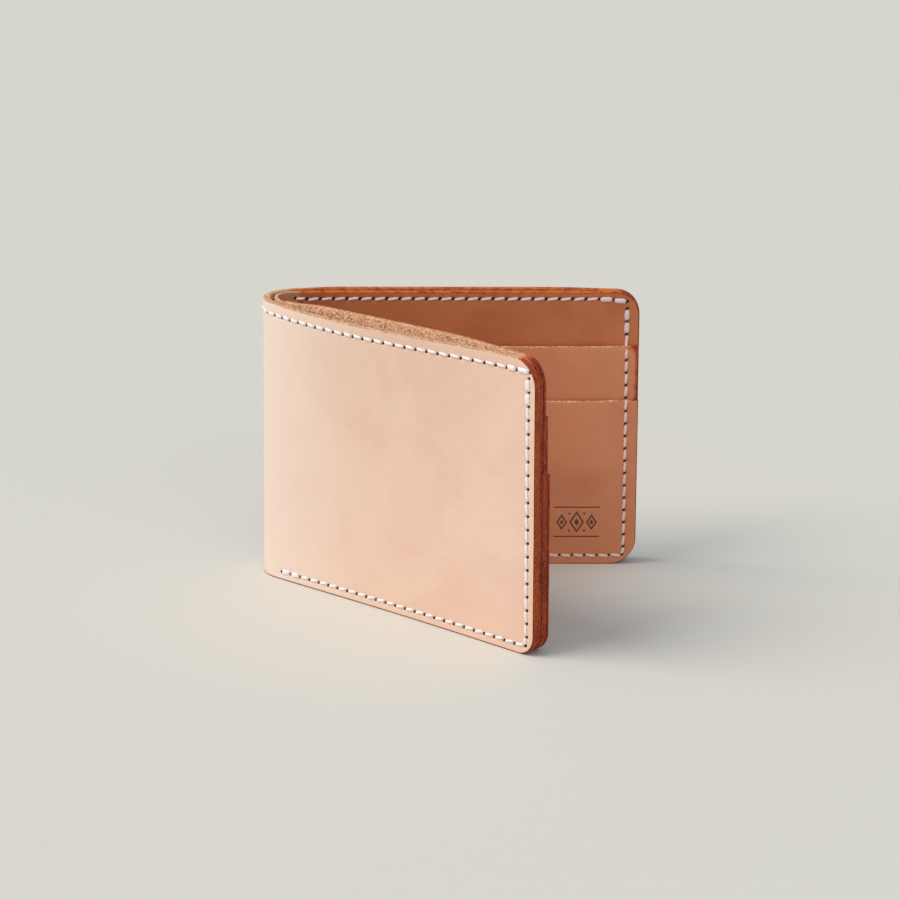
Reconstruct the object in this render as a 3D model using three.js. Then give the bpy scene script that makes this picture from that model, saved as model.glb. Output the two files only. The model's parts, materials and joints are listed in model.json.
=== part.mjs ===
// Bifold wallet of natural vegetable-tanned leather, standing on its long edge, partly open.
//
// Units are millimetres, +Z is up. The back half lies along +X with its card pockets facing -Y;
// the front half leaves the fold 41.5 degrees towards -Y, with its outside facing the viewer.
// The origin is the middle of the footprint's bounding box, on the surface the wallet stands on.
//
// Construction: one outer cover runs round the fold, one thin bill liner runs round inside it,
// and each half carries a full-height card panel with two stacked card pockets. The leather that
// bends round the fold is divided on three upright crease lines, so that it can turn.

import * as THREE from 'three';
import { mergeVertices } from 'three/addons/utils/BufferGeometryUtils.js';

// ---------- driving dimensions ----------

const HEIGHT = 82.4;            // long edge to long edge
const FOLD_RADIUS = 11;         // outside of the cover round the fold
const HALF_LENGTH = 99;         // from where the fold starts to the free edge; 110 with the fold
const OPENING_DEG = 41.5;       // angle between the two halves as the wallet stands

const CORNER_RADIUS = 7;        // free corners

const COVER = 2.0;              // leather thicknesses
const LINER = 1.0;
const PANEL = 1.05;
const UPPER = 1.0;
const LOWER = 0.95;
const LAY = 0.12;               // air between two layers that lie on each other

const FOLD_LINER_DEPTH = 3.3;   // the liner's outer face below the cover's outside, in the fold

const PANEL_START = 1.8;        // fold-side edge of a card panel
const POCKET_START = 6;         // fold-side edge of both pockets
const UPPER_LIP = 66.5;         // height of the upper pocket's mouth
const LOWER_LIP = 50.5;         // height of the lower pocket's mouth
const CARD_ROOM = 0.75;         // how far each pocket stands off at the middle, for a card

const THREAD_WIDTH = 0.8;       // sewing thread, pressed flat into a low ridge
const THREAD_RISE = 0.35;
const THREAD_OFF = 0.1;
const TOP_SEAM = 79.6;          // height of the cover's top seam
const PANEL_SEAM = 78.6;        // height of the panels' top seams
const HIDDEN_RISE = 0.25;       // the same thread inside the bill compartment
const HIDDEN_OFF = 0.06;
const SIDE_SEAM = 2.6;          // distance of the side seam from the free edge
const BOTTOM_SEAM = 2.5;        // height of the bottom seam
const STOP_SEAM = 18.2;         // height of the seam that stops a card in the upper pocket

const CREASE_CLEARANCE = 0.15;  // half the slit on a crease line
const CREASE_CLOSE_DEG = 6.9;   // flare of the slit, for closing
const CREASE_OPEN_DEG = 23.2;   // flare outside the crease line, for opening flat

// ---------- frame of each half ----------

const RAD = Math.PI / 180;
const MID_RADIUS = FOLD_RADIUS - COVER / 2;
const TURN = (180 - OPENING_DEG) * RAD;             // how far the leather turns round the fold
const CREASE = TURN / 6;                            // first crease, from the end of the fold
const MIDDLE = TURN / 2;                            // middle crease
const CREASE_RADIUS = MID_RADIUS / Math.cos(CREASE); // crease lines, from the fold's centre

const BACK = { along: [1, 0], out: [0, 1], mirrored: false };
const FRONT = {
  along: [Math.cos(OPENING_DEG * RAD), -Math.sin(OPENING_DEG * RAD)],
  out: [-Math.sin(OPENING_DEG * RAD), -Math.cos(OPENING_DEG * RAD)],
  mirrored: true,
};

// A place on a half: s along it from the fold (below 0 it is round the fold, an arc length on the
// middle of the cover), w inwards from the outside, z up.
function place(half, s, w, z) {
  const r = FOLD_RADIUS - w;
  let x = s, y = r;
  if (s < 0) {
    const a = -s / MID_RADIUS;
    x = -r * Math.sin(a);
    y = r * Math.cos(a);
  }
  return [x * half.along[0] + y * half.out[0], x * half.along[1] + y * half.out[1], z];
}

// Edge of a piece at a crease: the slit widens away from the crease line, so the leather on its
// two sides stays clear as the halves close and as they open flat.
function creaseEdge(angle, side, w) {
  const r = FOLD_RADIUS - w;
  const inside = Math.max(0, CREASE_RADIUS - r) * Math.tan(CREASE_CLOSE_DEG * RAD);
  const outside = Math.max(0, r - CREASE_RADIUS) * Math.tan(CREASE_OPEN_DEG * RAD);
  const gap = CREASE_CLEARANCE + inside + outside;
  return -(angle + side * gap / r) * MID_RADIUS;
}

const step = (x, a, b) => {
  const t = Math.min(1, Math.max(0, (x - a) / (b - a)));
  return t * t * (3 - 2 * t);
};

// ---------- how the layers stand off each other ----------

// The bill compartment gapes at its open top: the cover stands out, liner and card panel lean in.
function gapeOut(half, s, z) {
  const k = Math.pow(z / HEIGHT, 2.2);
  if (half === BACK) return 2.4 * k * step(s, -4, 12) * (1 - step(s, 72, 98));
  const t = Math.pow(Math.max(0, Math.min(1, s / 90)), 0.8);
  return 3.8 * k * Math.pow(Math.max(0, Math.sin(Math.PI * t)), 1.5);
}
function gapeIn(half, s, z) {
  const ends = step(s, 0, 4) * (1 - step(s, 95.5, 99));
  if (half === BACK) return 0.55 * Math.pow(z / HEIGHT, 10) * ends;
  const k = Math.pow(z / HEIGHT, 3);
  return 0.55 * k * ends + 3.3 * k * step(s, -1, 14) * (1 - step(s, 60, 97));
}
// the front half is very slightly hollow along its length
function bow(half, s) {
  if (half === BACK) return 0;
  return 0.8 * Math.sin(Math.PI * Math.max(0, Math.min(1, s / HALF_LENGTH)));
}

const field = (s) => step(s, 8.5, 17) * (1 - step(s, 85, 95));
const upperRoom = (s, z) => CARD_ROOM * field(s) * step(z, 19, 32);
const lowerRoom = (s, z) => CARD_ROOM * field(s) * step(z, 3.5, 16);

// depth of each layer's outer face below the outside of the fold's tangent plane
const coverFace = (h, s, z) => bow(h, s) - gapeOut(h, s, z);
const linerFace = (h, s, z) => {
  const flat = COVER + LAY + bow(h, s) + gapeIn(h, s, z);
  const t = step(s, -1, 16);
  return FOLD_LINER_DEPTH * (1 - t) * (1 - t) + flat * (1 - (1 - t) * (1 - t));
};
const panelFace = (h, s, z) => linerFace(h, s, z) + LINER + LAY;
const upperFace = (h, s, z) => panelFace(h, s, z) + PANEL + LAY + upperRoom(s, z);
const lowerFace = (h, s, z) =>
  panelFace(h, s, z) + PANEL + LAY + upperRoom(s, z) + UPPER + LAY + lowerRoom(s, z);

// ---------- leather ----------

// A sheet formed from a finely divided box: columns run along the half, rows run up it.
function form(columns, rows, layers, place3, mirrored) {
  const box = new THREE.BoxGeometry(1, 1, 1, columns, layers, rows);
  box.deleteAttribute('normal');
  box.deleteAttribute('uv');
  const geometry = mergeVertices(box, 1e-5);
  const p = geometry.attributes.position;
  for (let i = 0; i < p.count; i++) {
    const [x, y, z] = place3(
      Math.round((p.getX(i) + 0.5) * columns),
      Math.round((p.getY(i) + 0.5) * layers),
      Math.round((p.getZ(i) + 0.5) * rows));
    p.setXYZ(i, x, y, z);
  }
  if (mirrored) {
    const index = geometry.index;
    for (let i = 0; i < index.count; i += 3) {
      const a = index.getX(i);
      index.setX(i, index.getX(i + 1));
      index.setX(i + 1, a);
    }
  }
  geometry.computeVertexNormals();
  return geometry;
}

const FLAT = [1.8, 4, 6, 9, 14, 19, 25, 32, 40, 48, 56, 64, 72, 80, 86];
const CORNER = [0, 22.5, 45, 67.5, 90];

// stations along a half from start to the free edge, with the rounded free corners
function stations(start) {
  const flat = FLAT.filter((s) => s > start + 1.5);
  return [start, ...flat, ...CORNER.map((a) => HALF_LENGTH - CORNER_RADIUS * (1 - Math.sin(a * RAD)))];
}
function ends(s, low, high, roundLow, roundHigh) {
  const x = s - (HALF_LENGTH - CORNER_RADIUS);
  const cut = x > 0 ? CORNER_RADIUS - Math.sqrt(Math.max(0, CORNER_RADIUS ** 2 - x * x)) : 0;
  return [low + (roundLow ? cut : 0), high - (roundHigh ? cut : 0)];
}

// One flat layer of a half. levels are its rows, as heights; face is its outer face.
function layer(half, start, levels, face, thickness, roundLow, roundHigh, crease) {
  const low = levels[0], high = levels[levels.length - 1];
  const list = crease ? [-CREASE, -CREASE * 0.5, 0].map((a) => a * MID_RADIUS) : [];
  const all = [...list, ...stations(crease ? 0 : start).slice(crease ? 1 : 0)];
  return form(all.length - 1, levels.length - 1, 1, (i, j, k) => {
    let s = all[i];
    const [a, b] = ends(s, low, high, roundLow, roundHigh);
    const z = a + (b - a) * (levels[k] - low) / (high - low);
    // j = 1 is the outer face on the back half
    const w = face(half, s, z) + (j === 1 ? 0 : thickness);
    if (crease && i === 0) s = creaseEdge(CREASE, -1, w);
    return place(half, s, w, z);
  }, half.mirrored);
}

// A strip of the fold between the first crease and the middle crease.
function strip(half, levels, depth, thickness) {
  const n = 4;
  return form(n, levels.length - 1, 1, (i, j, k) => {
    const w = depth + (j === 1 ? 0 : thickness);
    const from = creaseEdge(MIDDLE, -1, w), to = creaseEdge(CREASE, 1, w);
    return place(half, from + (to - from) * i / n, w, levels[k]);
  }, half.mirrored);
}

const COVER_ROWS = [0, 12, 26, 40, 52, 62, 70, 76.5, HEIGHT];
const STRIP_ROWS = [0, HEIGHT];
const UPPER_ROWS = [0, 9, 14, 20, 26, 33, 41, 50.5, 58, UPPER_LIP];
const LOWER_ROWS = [0, 4, 9, 14, 20, 26, 33, 41, LOWER_LIP];

// ---------- thread ----------

// A run of stitches on one face of the leather: path is a list of [s, z, face depth], side is -1
// for a face that looks out and 1 for one that looks into the wallet.
function thread(half, path, side, from, to, off = THREAD_OFF, rise = THREAD_RISE) {
  const n = path.length - 1;
  const across = path.map((_, i) => {
    const a = path[Math.max(0, i - 1)], b = path[Math.min(n, i + 1)];
    const d = Math.hypot(b[0] - a[0], b[1] - a[1]);
    return [-(b[1] - a[1]) / d, (b[0] - a[0]) / d];
  });
  return form(n, 1, 1, (i, j, k) => {
    const [s0, z0, face] = path[i];
    const w = side < 0
      ? face - off - (j === 1 ? rise : 0)
      : face + off + (j === 1 ? 0 : rise);
    const c = (k === 1 ? 0.5 : -0.5) * THREAD_WIDTH;
    let s = s0 + across[i][0] * c;
    const z = z0 + across[i][1] * c;
    if (i === 0 && from) s = creaseEdge(from.angle, from.side, w);
    if (i === n && to) s = creaseEdge(to.angle, to.side, w);
    return place(half, s, w, z);
  }, half.mirrored);
}

const range = (a, b, n) => Array.from({ length: n + 1 }, (_, i) => a + (b - a) * i / n);
const along = (half, list, z, face) => list.map((s) => [s, z, face(half, s, z)]);

// Thread seams lie on these stations.
const TOP_RUN = [0, ...FLAT, 92, 94.6];

// The edge seam starts below the free top corner, goes down the free side, cuts the bottom corner
// and runs along the bottom to the start of the fold.
function edgePath(half, face, lips) {
  const s = HALF_LENGTH - SIDE_SEAM;
  const path = [];
  for (const z of [77.2, 74, 70, 68.3, 67.3, 62, 58, 54, 52.3, 51.3, 44, 36, 28, 20.9, 15.1, 10.3, 5.4])
    path.push([s, z]);
  for (const x of [HALF_LENGTH - 4.2, 92, 86, 80, 72, 64, 56, 48, 40, 32, 25, 19, 14, 9, 7.4, 5.8, 3.9, 3])
    path.push([x, BOTTOM_SEAM]);
  return path
    .filter(([x, z]) => lips || !([68.3, 67.3, 52.3, 51.3].includes(z) || [7.4, 5.8].includes(x)))
    .map(([x, z]) => [x, z, face(half, x, z)])
    .reverse();
}
// the inner face that carries the edge seam: panel, then each pocket as its mouth is passed
function insideFace(half, s, z) {
  if (z > 67.8 || s < 5) return panelFace(half, s, z) + PANEL;
  if (z > 51.8) return upperFace(half, s, z) + UPPER;
  return lowerFace(half, s, z) + LOWER;
}

// ---------- finishes ----------

const leather = (hex, roughness) =>
  new THREE.MeshStandardMaterial({ color: new THREE.Color(hex), roughness, metalness: 0 });

// ---------- assembly ----------

const wallet = new THREE.Group();
const placed = new THREE.Group();   // moved so that the origin is the middle of the footprint
wallet.add(placed);

function add(name, geometry, material) {
  const mesh = new THREE.Mesh(geometry, material);
  mesh.name = name;
  placed.add(mesh);
}

for (const [half, name] of [[BACK, 'back'], [FRONT, 'front']]) {
  // leather
  add(`cover_${name}`, layer(half, 0, COVER_ROWS, coverFace, COVER, true, true, true), leather('#e2bfa4', 0.55));
  add(`cover_spine_${name}`, strip(half, STRIP_ROWS, 0, COVER), leather('#e2bfa4', 0.55));
  add(`liner_${name}`, layer(half, 0, COVER_ROWS, linerFace, LINER, true, true, true), leather('#c9966f', 0.65));
  add(`liner_spine_${name}`, strip(half, STRIP_ROWS, FOLD_LINER_DEPTH, LINER), leather('#c9966f', 0.65));
  add(`card_panel_${name}`, layer(half, PANEL_START, COVER_ROWS, panelFace, PANEL, true, true), leather('#cf9870', 0.6));
  add(`upper_pocket_${name}`, layer(half, POCKET_START, UPPER_ROWS, upperFace, UPPER, true, false), leather('#cf9870', 0.6));
  add(`lower_pocket_${name}`, layer(half, POCKET_START, LOWER_ROWS, lowerFace, LOWER, true, false), leather('#cf9870', 0.6));

  // the cover's top seam, outside and inside, round the fold
  const white = () => leather('#f1e9df', 0.8);
  const inner = (h, s, z) => coverFace(h, s, z) + COVER;
  const bend = { angle: CREASE, side: -1 };
  const lead = [-CREASE * MID_RADIUS, -CREASE * MID_RADIUS / 2];
  const top = [...lead, ...TOP_RUN];
  add(`top_seam_${name}_outside`, thread(half, along(half, top, TOP_SEAM, coverFace), -1, bend), white());
  add(`top_seam_${name}_inside`, thread(half, along(half, top, TOP_SEAM, inner), 1, bend, null, HIDDEN_OFF, HIDDEN_RISE), white());
  const turn = range(-MIDDLE * MID_RADIUS, -CREASE * MID_RADIUS, 4);
  const from = { angle: MIDDLE, side: -1 }, to = { angle: CREASE, side: 1 };
  add(`top_seam_spine_${name}_outside`, thread(half, turn.map((s) => [s, TOP_SEAM, 0]), -1, from, to), white());
  add(`top_seam_spine_${name}_inside`, thread(half, turn.map((s) => [s, TOP_SEAM, COVER]), 1, from, to, HIDDEN_OFF, HIDDEN_RISE), white());

  // the seam that joins card panel and liner along the top
  const panelRun = [2.6, ...TOP_RUN.slice(2)];
  const panelInner = (h, s, z) => panelFace(h, s, z) + PANEL;
  add(`panel_seam_${name}_face`, thread(half, along(half, panelRun, PANEL_SEAM, panelInner), 1), white());
  add(`panel_seam_${name}_reverse`, thread(half, along(half, panelRun, PANEL_SEAM, linerFace), -1, null, null, HIDDEN_OFF, HIDDEN_RISE), white());

  // the seam through every layer, down the free side and along the bottom
  add(`edge_seam_${name}_outside`, thread(half, edgePath(half, coverFace, false), -1), white());
  add(`edge_seam_${name}_inside`, thread(half, edgePath(half, insideFace, true), 1), white());

  // the hidden seam that stops a card in the upper pocket, and the pockets' fold-side seam
  const upperInner = (h, s, z) => upperFace(h, s, z) + UPPER;
  add(`stop_seam_${name}`, thread(half, along(half, [19, 25, 32, 40, 48, 56, 64, 72, 80, 86], STOP_SEAM, upperInner), 1), white());
  const sideUp = [4.5, 9, 14, 20, 26, 33, 41, 48.4, 51.3, 52.3, 58, 65.2];
  add(`pocket_seam_${name}`, thread(half, sideUp.map((z) =>
    [POCKET_START + 2.2, z, z > 51.8 ? upperInner(half, 8.2, z) : lowerFace(half, 8.2, z) + LOWER]), 1), white());
}

// the origin goes to the middle of the footprint
const bounds = new THREE.Box3().setFromObject(placed);
const middle = bounds.getCenter(new THREE.Vector3());
placed.position.set(-middle.x, -middle.y, 0);

export default wallet;
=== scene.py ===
"""A leather bifold wallet standing upright on its long edge, partly open like a book.

The fold is at the low-x end. The back half runs along +x and its outside faces +y; the front half
swings towards -y, where the camera is. z is up, with the bottom edge at z = 0.

Pieces are laid out flat in millimetres and then placed:
  along  distance from the end of the fold to the free edge, below 0 round the fold; in the middle
         piece of the fold it is the developed length from the middle, the front half above 0
  depth  distance inwards from the outside of the cover
  z      height
"""
import json
import math
from dataclasses import dataclass
from functools import partial

import bmesh
import bpy
import numpy as np
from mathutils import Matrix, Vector
from mathutils.geometry import delaunay_2d_cdt


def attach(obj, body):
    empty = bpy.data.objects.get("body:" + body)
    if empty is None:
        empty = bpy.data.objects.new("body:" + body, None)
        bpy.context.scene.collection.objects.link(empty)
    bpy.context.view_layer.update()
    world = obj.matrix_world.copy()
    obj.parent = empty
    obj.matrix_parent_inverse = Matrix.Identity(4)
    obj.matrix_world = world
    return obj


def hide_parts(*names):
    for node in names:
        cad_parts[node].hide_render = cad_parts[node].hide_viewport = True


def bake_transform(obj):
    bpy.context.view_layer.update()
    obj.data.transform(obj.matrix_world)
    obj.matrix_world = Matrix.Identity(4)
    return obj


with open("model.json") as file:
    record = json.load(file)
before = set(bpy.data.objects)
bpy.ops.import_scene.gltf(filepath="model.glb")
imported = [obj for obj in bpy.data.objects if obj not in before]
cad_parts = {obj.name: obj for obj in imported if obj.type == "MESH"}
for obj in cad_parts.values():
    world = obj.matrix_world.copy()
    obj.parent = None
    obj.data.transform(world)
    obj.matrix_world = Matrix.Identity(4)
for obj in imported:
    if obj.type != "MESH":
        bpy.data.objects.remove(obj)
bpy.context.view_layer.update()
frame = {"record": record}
scene = bpy.context.scene

# ---------------------------------------------------------------- dimensions, millimetres

HEIGHT = 82.4
LENGTH = 99.0                       # end of the fold to the free edge
FOLD_RADIUS = 11.0                  # outside of the fold
MID_RADIUS = 10.0                   # middle of the cover in the fold; arc lengths are taken there
OPENING = math.radians(41.5)        # between the two halves
TURN = math.pi - OPENING            # taken up by the fold
FIRST_CREASE = TURN / 6             # from the end of the fold
HALF_FOLD = TURN / 2 * MID_RADIUS   # arc from the end of the fold to its middle
CUT = math.radians(46.1667)         # where a half's leather meets the middle piece of the fold
CUT_ALONG = -CUT * MID_RADIUS
MIDDLE_REACH = HALF_FOLD + CUT_ALONG    # half the length of the middle piece

# thickness of each layer, from the outside in, and the space between two layers
COVER, LINER, PANEL, UPPER, LOWER, GAP = 2.0, 1.0, 1.05, 1.0, 0.95, 0.12
FOLD_DEPTH = 3.3                    # of the liner inside the fold
PANEL_START, POCKET_START = 1.3, 6.0
UPPER_LIP, LOWER_LIP = 66.5, 50.5   # tops of the two pockets
FREE_EDGE = {"cover": LENGTH + 0.15, "liner": LENGTH + 0.02, "panel": LENGTH + 0.16,
             "upper": LENGTH + 0.02, "lower": LENGTH + 0.14}
FREE_CORNERS = {"back": (8.0, 6.5), "front": (5.6, 7.6)}    # radius at the bottom, at the top

joints = {joint["name"]: joint for joint in frame["record"]["behaviour"]["joints"]}
pivot = joints["crease_back"]["pos_m"]
CREASE_RADIUS = MID_RADIUS / math.cos(FIRST_CREASE)
FOLD_X = pivot[0] * 1000 + CREASE_RADIUS * math.sin(FIRST_CREASE)
FOLD_Y = pivot[1] * 1000 - CREASE_RADIUS * math.cos(FIRST_CREASE)

ALONG_WAY = {"back": (1.0, 0.0), "front": (math.cos(OPENING), -math.sin(OPENING))}
OUT_WAY = {"back": (0.0, 1.0), "front": (-math.sin(OPENING), -math.cos(OPENING))}


def step(value, start, end):
    """A smooth step from 0 at start to 1 at end."""
    ratio = np.clip((value - start) / (end - start), 0, 1)
    return ratio * ratio * (3 - 2 * ratio)


def place_half(half, along, depth, z):
    """Flat millimetres of one half -> metres in the frame."""
    along, depth, z = np.broadcast_arrays(along, depth, z)
    radius = FOLD_RADIUS - depth
    angle = np.maximum(0, -along) / MID_RADIUS
    run = np.where(along < 0, -radius * np.sin(angle), along)
    out = np.where(along < 0, radius * np.cos(angle), radius)
    way, out_way = ALONG_WAY[half], OUT_WAY[half]
    x = run * way[0] + out * out_way[0] + FOLD_X
    y = run * way[1] + out * out_way[1] + FOLD_Y
    return np.stack([x, y, z], -1) / 1000


def place_fold(along, depth, z):
    from_end = np.abs(along) - HALF_FOLD
    return np.where((along < 0)[..., None], place_half("back", from_end, depth, z),
                    place_half("front", from_end, depth, z))


PLACES = {"back": partial(place_half, "back"), "front": partial(place_half, "front"),
          "fold": place_fold}


# ---------------------------------------------------------------- depth of each layer's outer face

def gape_out(half, along, z):
    """How far the cover leans outwards near the top."""
    rise = (np.maximum(z, 0) / HEIGHT) ** 2.2
    if half == "back":
        return 2.4 * rise * step(along, -4, 12) * (1 - step(along, 72, 98))
    reach = np.clip(along / 90, 0, 1) ** 0.8
    return 3.8 * rise * np.maximum(0, np.sin(np.pi * reach)) ** 1.5


def gape_in(half, along, z):
    """How far the liner leans inwards near the top."""
    between_ends = step(along, 0, 4) * (1 - step(along, 95.5, 99))
    rise = np.maximum(z, 0) / HEIGHT
    if half == "back":
        return 0.55 * rise ** 10 * between_ends
    belly = step(along, -1, 14) * (1 - step(along, 60, 97))
    return 0.55 * rise ** 3 * between_ends + 3.3 * rise ** 3 * belly


def bow(half, along):
    """The front half is slightly bent along its length."""
    return 0.0 if half == "back" else 0.8 * np.sin(np.pi * np.clip(along / LENGTH, 0, 1))


def pocket_room(along, z, low, high):
    """Space behind a pocket, away from its seams, opening between two heights."""
    return 0.75 * (step(along, 8.5, 17) * (1 - step(along, 85, 95))) * step(z, low, high)


def waves(along, z, seed, amount):
    """A slow, slight unevenness of the leather, a few hundredths of a millimetre."""
    rng = np.random.default_rng(seed)
    total = 0
    for _ in range(6):
        pace = rng.uniform(0.05, 0.26)
        heading = rng.uniform(0, 2 * np.pi)
        distance = np.cos(heading) * along + np.sin(heading) * z
        total = total + np.sin(pace * distance + rng.uniform(0, 6.28))
    return total * amount / 3


def squeeze(along, z):
    """The fold is drawn in towards the top; along is the developed length."""
    return (0.25 + 1.4 * np.clip(z / HEIGHT, 0, 1)) * np.exp(-((along - 6) / 9.0) ** 2)


def half_squeeze(half, along, z):
    developed = along + HALF_FOLD
    return squeeze(developed if half == "front" else -developed, z)


def cover_face(half, along, z):
    return bow(half, along) - gape_out(half, along, z) + half_squeeze(half, along, z)


def liner_face(half, along, z):
    flat = COVER + GAP + bow(half, along) + gape_in(half, along, z)
    away = (1 - step(along, -1, 16)) ** 2
    return FOLD_DEPTH * away + flat * (1 - away) + half_squeeze(half, along, z)


def fold_liner_face(along, z):
    return FOLD_DEPTH + squeeze(along, z)


def panel_face(half, along, z):
    return liner_face(half, along, z) + LINER + GAP


def upper_face(half, along, z):
    return panel_face(half, along, z) + PANEL + GAP + pocket_room(along, z, 19, 32)


def lower_face(half, along, z):
    return upper_face(half, along, z) + UPPER + GAP + pocket_room(along, z, 3.5, 16)


def cover_back(half, along, z):
    return cover_face(half, along, z) + COVER


def fold_cover_back(along, z):
    return COVER + squeeze(along, z)


def panel_front(half, along, z):
    """The panel's inner face, stepping down to the liner beyond the panel's edge."""
    onto_panel = step(along, 0.1, 1.4)
    return liner_face(half, along, z) + LINER + (GAP + PANEL) * onto_panel


def upper_front(half, along, z):
    return upper_face(half, along, z) + UPPER


def innermost(half, along, z):
    """The innermost face, stepping down from the pockets to the panel at their lips."""
    on_pockets = step(along, 5.2, 6.2)
    on_upper = 1 - step(z, UPPER_LIP - 0.1, UPPER_LIP + 0.6)
    on_lower = 1 - step(z, LOWER_LIP - 0.1, LOWER_LIP + 0.6)
    return ((panel_face(half, along, z) + PANEL) * (1 - on_upper * on_pockets)
            + upper_front(half, along, z) * on_upper * on_pockets * (1 - on_lower)
            + (lower_face(half, along, z) + LOWER) * on_lower * on_pockets)


# ---------------------------------------------------------------- seams, as lists of holes

TOP_Z = 79.35
PANEL_Z = {"back": 80.35, "front": 79.3}
SIDE_ALONG = {"back": 95.5, "front": 96.3}

# the cover's top seam, as developed lengths from the middle of the fold
TOP_IN_FOLD = [1.925, 5.775, 9.66]
TOP_FIRST = HALF_FOLD + 1.6
TOP_FRONT_STEPS = np.array([
    0, 3.75, 7.5, 11.25, 15, 18.7, 22.4, 26.1, 30, 33.75, 37.5, 41.3,
    45, 48.85, 52.6, 56.35, 60.1, 63.85, 67.65, 71.6, 75.6, 79.55, 83.4, 87.2])
TOP_DEVELOPED = {
    "back": [TOP_IN_FOLD, TOP_FIRST + np.linspace(0, 90.2, 25), [HALF_FOLD + 95.6]],
    "front": [TOP_IN_FOLD, TOP_FIRST + TOP_FRONT_STEPS, [HALF_FOLD + 92.3, HALF_FOLD + 96.9]],
}
TOP_HOLES = {half: [(length - HALF_FOLD, TOP_Z) for length in np.concatenate(lengths)]
             for half, lengths in TOP_DEVELOPED.items()}
FOLD_HOLES = [(length, TOP_Z) for length in (-5.775, -1.925, 1.925, 5.775)]

PANEL_HOLES = {
    "back": [(along, PANEL_Z["back"]) for along in [-1.1, *np.linspace(2.7, 87.4, 23)]]
            + [(91.5, 80.1), (95.5, 79.6)],
    "front": [(along, PANEL_Z["front"])
              for along in [-1.1, *np.linspace(2.7, 88.0, 23), 92.3, 96.5]],
}


def edge_holes(side):
    """Down the free side, round the corner and back along the bottom."""
    return ([(side, z) for z in np.linspace(77.4, 5.4, 20)] + [(side - 0.35, 2.85)]
            + [(along, 2.7) for along in np.linspace(side - 4.1, 2.9, 25)])


EDGE_HOLES = {half: edge_holes(side) for half, side in SIDE_ALONG.items()}
STOP_HOLES = [(along, 18.2) for along in np.linspace(18, 85, 18)]
POCKET_HOLES = [(8.2, z) for z in np.linspace(5.6, 64.0, 16)]


def neighbours(holes):
    """Pairs of consecutive holes close enough to share a stitch."""
    return [(first, second) for first, second in zip(holes[:-1], holes[1:])
            if math.hypot(first[0] - second[0], first[1] - second[1]) <= 6]


# ---------------------------------------------------------------- decoration on the back lower pocket

ORNAMENT_CENTRE = (81.6, 13.2)


def ornament(along, z):
    """Distance to a tooled border: two rules with a row of lozenges between, 0 on the line."""
    x, y = along - ORNAMENT_CENTRE[0], z - ORNAMENT_CENTRE[1]
    distance = np.full(np.shape(x), 9.0)

    def lozenge(middle, width, height):
        size = width * height / math.hypot(width, height)
        return (np.abs(x - middle) / width + np.abs(y) / height - 1) * size

    for rule in (-4.6, 4.6):
        beyond = np.maximum(np.abs(x) - 6.6, 0)
        distance = np.minimum(distance, np.hypot(beyond, y - rule) - 0.13)
    for middle, width, height in ((-4.4, 1.35, 2.1), (0.0, 1.9, 3.0), (4.4, 1.35, 2.1)):
        distance = np.minimum(distance, np.abs(lozenge(middle, width, height)) - 0.17)
        distance = np.minimum(distance, lozenge(middle, width * 0.36, height * 0.36))
    for dot_x in (-2.2, 2.2):
        for dot_y in (-2.7, 2.7):
            distance = np.minimum(distance, np.hypot(x - dot_x, y - dot_y) - 0.26)
    return distance


def lower_relief(half, along, z):
    """Depth and darkness pressed into a lower pocket: a faint band, and the back's ornament."""
    band = step(z, 38.2, 39.3) * (1 - step(z, 39.6, 44.0))
    depth = 0.05 * band * step(along, 12, 20) * (1 - step(along, 84, 92))
    stamp = np.zeros(len(along))
    if half == "back":
        distance = ornament(along, z)
        stamp = 1 - step(distance, -0.02, 0.20)
        depth = depth + 0.13 * (1 - step(distance, -0.06, 0.24))
    return depth, stamp


# ---------------------------------------------------------------- meshes

def make_object(name, verts, faces, scalars, flat):
    """A smooth object with outward normals; scalars and flat are lists of arrays per vertex."""
    mesh = bpy.data.meshes.new(name)
    mesh.from_pydata(np.concatenate(verts).tolist(), [], faces)
    mesh.update()
    for key, values in scalars.items():
        attribute = mesh.attributes.new(key, "FLOAT", "POINT")
        attribute.data.foreach_set("value", np.concatenate(values).astype(np.float32))
    attribute = mesh.attributes.new("flat", "FLOAT_VECTOR", "POINT")
    attribute.data.foreach_set("vector", np.concatenate(flat).astype(np.float32).ravel())
    shell = bmesh.new()
    shell.from_mesh(mesh)
    bmesh.ops.recalc_face_normals(shell, faces=shell.faces)
    shell.to_mesh(mesh)
    shell.free()
    mesh.update()
    mesh.shade_smooth()
    obj = bpy.data.objects.new(name, mesh)
    scene.collection.objects.link(obj)
    return obj


FINE, COARSE = 0.5, 1.5         # spacing of points near the start of a sheet, and further on
EDGE_ROWS = [0.0, 0.5, 1.1, 1.9, 2.8, 3.7, 4.7]     # outline heights from the bottom or top edge
INNER_ROWS = (0.4, 0.95, 1.75)  # rows of points inside the rounded edge
ROUND_STEPS = 4
CROWN = 0.03                    # bulge of a cut edge
LAYER_STEP = 37.0               # spacing of the layers in the third flat coordinate

HOLE_LENGTH, HOLE_WIDTH = 0.56, 0.38    # half sizes of a slanted stitch hole
HOLE_RINGS = ((0.36, 6), (0.7, 8), (1.0, 10), (1.5, 10), (2.3, 10))    # size, number of points
# where the painted shade of a cover's hole shows, beside the thread that comes out of it
TOP_SHIFT = {"back": (-0.05, -0.27), "front": (0.05, -0.27), "fold": (0.05, -0.27)}
SIDE_SHIFT = (0.27, -0.10)


def hole_reach(along, z):
    """Distance from a hole's centre, 1 on its rim."""
    return np.hypot((0.8 * along + 0.6 * z) / HOLE_LENGTH, (-0.6 * along + 0.8 * z) / HOLE_WIDTH)


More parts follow.
